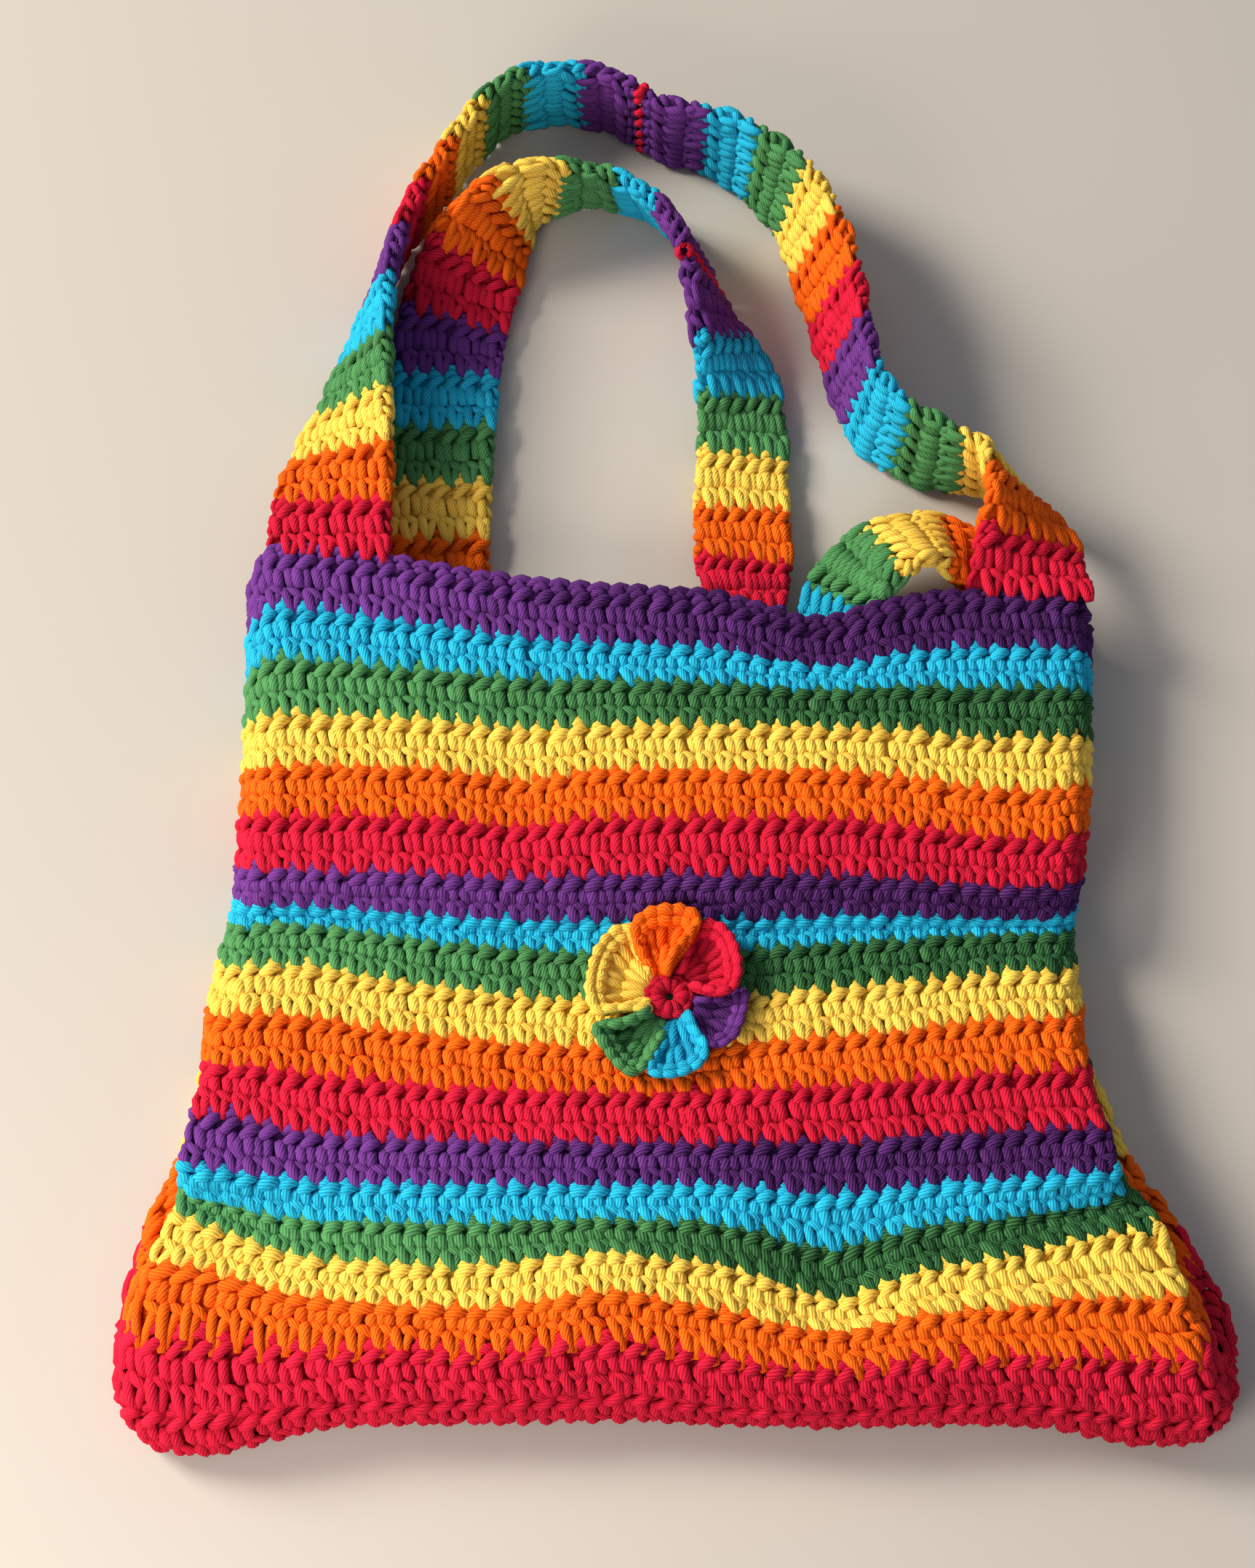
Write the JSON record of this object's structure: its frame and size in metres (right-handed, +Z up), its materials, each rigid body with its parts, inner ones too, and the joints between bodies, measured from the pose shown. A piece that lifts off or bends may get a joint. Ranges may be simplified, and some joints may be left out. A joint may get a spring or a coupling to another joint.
{
  "type": "tote bag",
  "caption": "Soft crocheted tote bag in rainbow stripes lying on its back, with an open mouth, two long striped shoulder straps and a crocheted flower on the front.",
  "frame": {"origin": "centre of the footprint, on the surface the bag lies on", "axes": "+X to the right across the bag's width, +Y from the bag's closed end towards the strap tops, +Z up, out of the front panel with the flower"},
  "size_m": [0.3538, 0.5318, 0.0455],
  "materials": {
    "purple": "plied cotton yarn, purple",
    "blue": "plied cotton yarn, blue",
    "green": "plied cotton yarn, green",
    "yellow": "plied cotton yarn, yellow",
    "orange": "plied cotton yarn, orange",
    "red": "plied cotton yarn, red",
    "striped": "plied cotton yarn in bands of red, orange, yellow, green, blue and purple"
  },
  "bodies": {
    "root": {"body_purple_1": "purple", "body_blue_1": "blue", "body_green_1": "green", "body_yellow_1": "yellow", "body_orange_1": "orange", "body_red_1": "red", "body_purple_2": "purple", "body_blue_2": "blue", "body_green_2": "green", "body_yellow_2": "yellow", "body_orange_2": "orange", "body_red_2": "red", "body_purple_3": "purple", "body_blue_3": "blue", "body_green_3": "green", "body_yellow_3": "yellow", "body_orange_3": "orange", "body_red_3": "red", "front_strap_left": "striped", "front_strap_right": "striped", "front_strap_seam": "red", "back_strap_left": "striped", "back_strap_right": "striped", "back_strap_seam": "red", "flower_centre_red": "red", "flower_petal_orange": "orange", "flower_petal_yellow": "yellow", "flower_petal_green": "green", "flower_petal_blue": "blue", "flower_petal_purple": "purple", "flower_petal_red": "red"}
  },
  "joints": []
}
